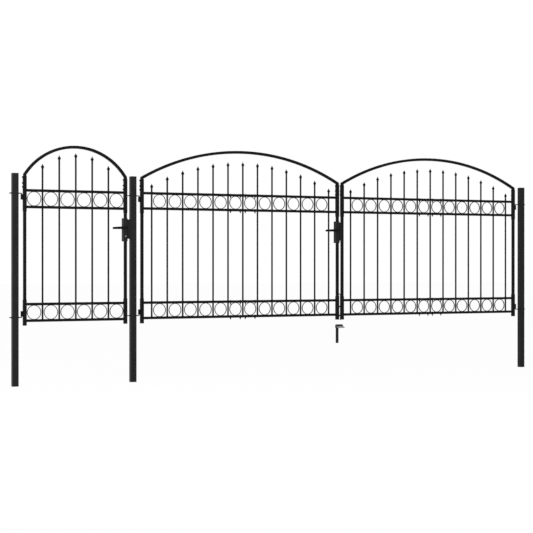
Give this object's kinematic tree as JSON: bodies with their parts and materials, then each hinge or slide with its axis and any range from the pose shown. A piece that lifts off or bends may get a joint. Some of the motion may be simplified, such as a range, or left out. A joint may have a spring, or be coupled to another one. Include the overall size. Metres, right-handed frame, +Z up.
{
  "type": "wrought iron driveway gate with a wicket",
  "caption": "Black steel driveway gate set: an arched wicket and a two-leaf arched gate with ring bands and spear pickets, hung by hook hinges on square posts, with lever locks and a drop bolt.",
  "frame": {"origin": "centre of the middle post's foot face", "axes": "+X along the gate from the wicket to the two leaves, +Y through the gate to the side the leaves open to, +Z up"},
  "size_m": [5.1678, 0.09, 2.0018],
  "materials": {
    "black_powder_coat": "satin black powder coat",
    "black_plastic": "moulded matt black",
    "dark_steel": "blackened zinc plated steel",
    "key_cylinder_metal": "satin nickel",
    "bare_zinc": "dull zinc",
    "lever_black": "semi gloss black"
  },
  "bodies": {
    "frame": {"left_post": "black_powder_coat", "middle_post": "black_powder_coat", "right_post": "black_powder_coat", "left_post_cap": "black_plastic", "middle_post_cap": "black_plastic", "right_post_cap": "black_plastic", "wicket_hinge_hooks": "dark_steel", "left_leaf_hinge_hooks": "dark_steel", "right_leaf_hinge_hooks": "dark_steel", "wicket_keeper": "black_powder_coat", "ground_stop": "black_powder_coat", "ground_stop_ramp": "bare_zinc"},
    "wicket": {"wicket_hinge_stile": "black_powder_coat", "wicket_lock_stile": "black_powder_coat", "wicket_sleeves": "black_powder_coat", "wicket_arch": "black_powder_coat", "wicket_top_band": "black_powder_coat", "wicket_bottom_band": "black_powder_coat", "wicket_pickets": "black_powder_coat", "wicket_hinge_barrels": "black_powder_coat", "wicket_lock_case": "black_powder_coat", "wicket_key_cylinder": "key_cylinder_metal"},
    "wicket_lever": {"wicket_lever": "lever_black"},
    "left_leaf": {"left_leaf_hinge_stile": "black_powder_coat", "left_leaf_lock_stile": "black_powder_coat", "left_leaf_sleeves": "black_powder_coat", "left_leaf_arch": "black_powder_coat", "left_leaf_top_band": "black_powder_coat", "left_leaf_bottom_band": "black_powder_coat", "left_leaf_pickets": "black_powder_coat", "left_leaf_hinge_barrels": "black_powder_coat", "left_leaf_lock_case": "black_powder_coat", "left_leaf_key_cylinder": "dark_steel"},
    "left_leaf_lever": {"left_leaf_lever": "lever_black"},
    "right_leaf": {"right_leaf_hinge_stile": "black_powder_coat", "right_leaf_meeting_stile": "black_powder_coat", "right_leaf_sleeves": "black_powder_coat", "right_leaf_arch": "black_powder_coat", "right_leaf_top_band": "black_powder_coat", "right_leaf_bottom_band": "black_powder_coat", "right_leaf_pickets": "black_powder_coat", "right_leaf_hinge_barrels": "black_powder_coat", "right_leaf_keeper": "black_powder_coat", "drop_bolt_guides": "black_powder_coat"},
    "drop_bolt": {"drop_bolt": "dark_steel"}
  },
  "joints": [
    {"name": "wicket_swing", "type": "hinge", "parent": "frame", "child": "wicket", "pos_m": [-0.973, 0, 0], "axis": [0, 0, 1], "range_deg": [0, 100]},
    {"name": "wicket_lever_turn", "type": "hinge", "parent": "wicket", "child": "wicket_lever", "pos_m": [-0.0745, 0, 1.312], "axis": [0, -1, 0], "range_deg": [0, 40], "stiffness_Nm_per_rad": 1.2, "springref_deg": -28.65},
    {"name": "left_leaf_swing", "type": "hinge", "parent": "frame", "child": "left_leaf", "pos_m": [0.0575, 0, 0], "axis": [0, 0, 1], "range_deg": [0, 100]},
    {"name": "left_leaf_lever_turn", "type": "hinge", "parent": "left_leaf", "child": "left_leaf_lever", "pos_m": [1.9834, 0, 1.312], "axis": [0, -1, 0], "range_deg": [0, 40], "stiffness_Nm_per_rad": 1.2, "springref_deg": -28.65},
    {"name": "right_leaf_swing", "type": "hinge", "parent": "frame", "child": "right_leaf", "pos_m": [3.9713, 0, 0], "axis": [0, 0, -1], "range_deg": [0, 100]},
    {"name": "drop_bolt_slide", "type": "slide", "parent": "right_leaf", "child": "drop_bolt", "axis": [0, 0, -1], "range_m": [0, 0.09]}
  ]
}
